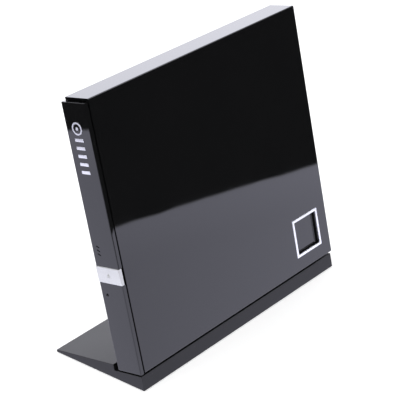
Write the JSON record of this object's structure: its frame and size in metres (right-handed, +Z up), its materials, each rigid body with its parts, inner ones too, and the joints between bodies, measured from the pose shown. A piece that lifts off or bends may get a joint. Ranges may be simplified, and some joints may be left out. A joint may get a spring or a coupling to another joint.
{
  "type": "external optical drive",
  "caption": "Slim external disc drive that stands on its edge in a wedge-shaped stand, with a sliding tray behind a full-height bezel and a silver eject button.",
  "frame": {"origin": "centre of the footprint's bounding box, on the table", "axes": "+Z up, +Y from the bezel to the rear wall, +X the way the glossy cover faces"},
  "size_m": [0.0638, 0.1652, 0.1549],
  "materials": {
    "glossy_black": "piano gloss",
    "stand_black": "satin",
    "black_plastic": "fine grain",
    "tray_grey": "fine grain",
    "silver_plastic": "metallic lacquer",
    "trim_metal": "satin anodised",
    "clear_plastic": "moulded acrylic",
    "zinc_steel": "zinc plated",
    "bright_steel": "polished",
    "screw_steel": "black zinc",
    "rubber_black": "matt",
    "board_green": "solder mask",
    "cable_amber": "polyester film",
    "cover_black_metal": "satin black",
    "motor_metal": "nickel plated",
    "hub_plastic": "satin",
    "sled_metal": "die cast",
    "lens_plastic": "satin",
    "lens_glass": "coated"
  },
  "bodies": {
    "stand": {"stand_shell": "stand_black", "stand_base_plate": "black_plastic", "stand_base_screws": "screw_steel", "stand_ballast": "zinc_steel", "stand_feet": "rubber_black", "ledge_pads": "rubber_black"},
    "drive": {"top_cover": "glossy_black", "bottom_cover": "black_plastic", "cover_screws": "screw_steel", "trim_ring": "trim_metal", "cover_feet": "rubber_black", "unit_case": "zinc_steel", "unit_lid": "zinc_steel", "rail_guides": "black_plastic", "side_brackets": "black_plastic", "inner_screws": "screw_steel", "rear_board": "board_green", "unit_plug": "black_plastic", "bridge_board": "board_green", "bridge_socket": "black_plastic", "usb_socket": "bright_steel", "power_jack": "black_plastic", "bridge_parts": "black_plastic", "tray_cable": "cable_amber"},
    "tray": {"tray_moulding": "tray_grey", "tray_bezel": "glossy_black", "light_pipe": "clear_plastic", "bezel_mark": "trim_metal", "traverse_frame": "zinc_steel", "guide_rods": "bright_steel", "traverse_cover": "cover_black_metal", "dampers": "rubber_black", "damper_screws": "screw_steel", "stepper_motor": "motor_metal", "spindle_base": "zinc_steel", "spindle_stator": "motor_metal", "tray_board": "board_green", "eject_switch": "black_plastic", "tray_chips": "black_plastic", "tray_ribbon": "cable_amber", "latch_coil": "motor_metal", "tray_under_cover": "zinc_steel", "latch_pin": "bright_steel", "eject_spring": "bright_steel"},
    "left_rail": {"left_rail": "zinc_steel"},
    "right_rail": {"right_rail": "zinc_steel"},
    "button": {"eject_button": "silver_plastic", "switch_plunger": "black_plastic"},
    "turntable": {"turntable": "hub_plastic", "turntable_pad": "rubber_black", "spindle_rotor": "motor_metal", "rotor_magnet": "motor_metal"},
    "pickup": {"pickup_sled": "sled_metal", "pickup_nut": "tray_grey", "pickup_magnets": "motor_metal"},
    "lens": {"lens_holder": "lens_plastic", "objective_lens": "lens_glass"},
    "lead_screw": {"lead_screw": "bright_steel"},
    "latch": {"latch_lever": "black_plastic"},
    "ejector": {"eject_plunger": "black_plastic"}
  },
  "joints": [
    {"name": "drive_lift", "type": "slide", "parent": "stand", "child": "drive", "axis": [-0.1678, 0, 0.9858], "range_m": [0, 0.03]},
    {"name": "tray_slide", "type": "slide", "parent": "drive", "child": "tray", "axis": [0, -1, 0], "range_m": [0, 0.125], "deforming": ["tray_cable"]},
    {"name": "left_rail_slide", "type": "slide", "parent": "drive", "child": "left_rail", "axis": [0, -1, 0], "range_m": [0, 0.063]},
    {"name": "right_rail_slide", "type": "slide", "parent": "drive", "child": "right_rail", "axis": [0, -1, 0], "range_m": [0, 0.063]},
    {"name": "eject_press", "type": "slide", "parent": "tray", "child": "button", "axis": [0, 1, 0], "range_m": [0, 0.0006], "stiffness_N_per_m": 300, "springref_m": -0.0005},
    {"name": "disc_spin", "type": "hinge", "parent": "tray", "child": "turntable", "pos_m": [0.00974, -0.01795, 0.08069], "axis": [0.9858, 0, 0.1678], "continuous": true},
    {"name": "pickup_slide", "type": "slide", "parent": "tray", "child": "pickup", "axis": [-0.1187, 0.7071, 0.6971], "range_m": [0, 0.034]},
    {"name": "lead_screw_turn", "type": "hinge", "parent": "tray", "child": "lead_screw", "pos_m": [0.00353, -0.01668, 0.10704], "axis": [-0.1187, 0.7071, 0.6971], "range_deg": [0, 4085]},
    {"name": "lens_focus", "type": "slide", "parent": "pickup", "child": "lens", "axis": [0.9858, 0, 0.1678], "range_m": [-0.0004, 0.0004], "stiffness_N_per_m": 40},
    {"name": "latch_swing", "type": "hinge", "parent": "tray", "child": "latch", "pos_m": [0.01344, -0.04235, 0.03872], "axis": [0.9858, 0, 0.1678], "range_deg": [0, 12], "stiffness_Nm_per_rad": 0.002},
    {"name": "ejector_slide", "type": "slide", "parent": "tray", "child": "ejector", "axis": [0, 1, 0], "range_m": [0, 0.0082], "deforming": ["eject_spring"]}
  ],
  "couplings": [
    {"joint": "left_rail_slide", "follows": "tray_slide", "ratio": 0.5},
    {"joint": "right_rail_slide", "follows": "tray_slide", "ratio": 0.5},
    {"joint": "ejector_slide", "follows": "tray_slide", "ratio": 0.064},
    {"joint": "lead_screw_turn", "follows": "pickup_slide", "rad_per_m": 2094.4}
  ]
}
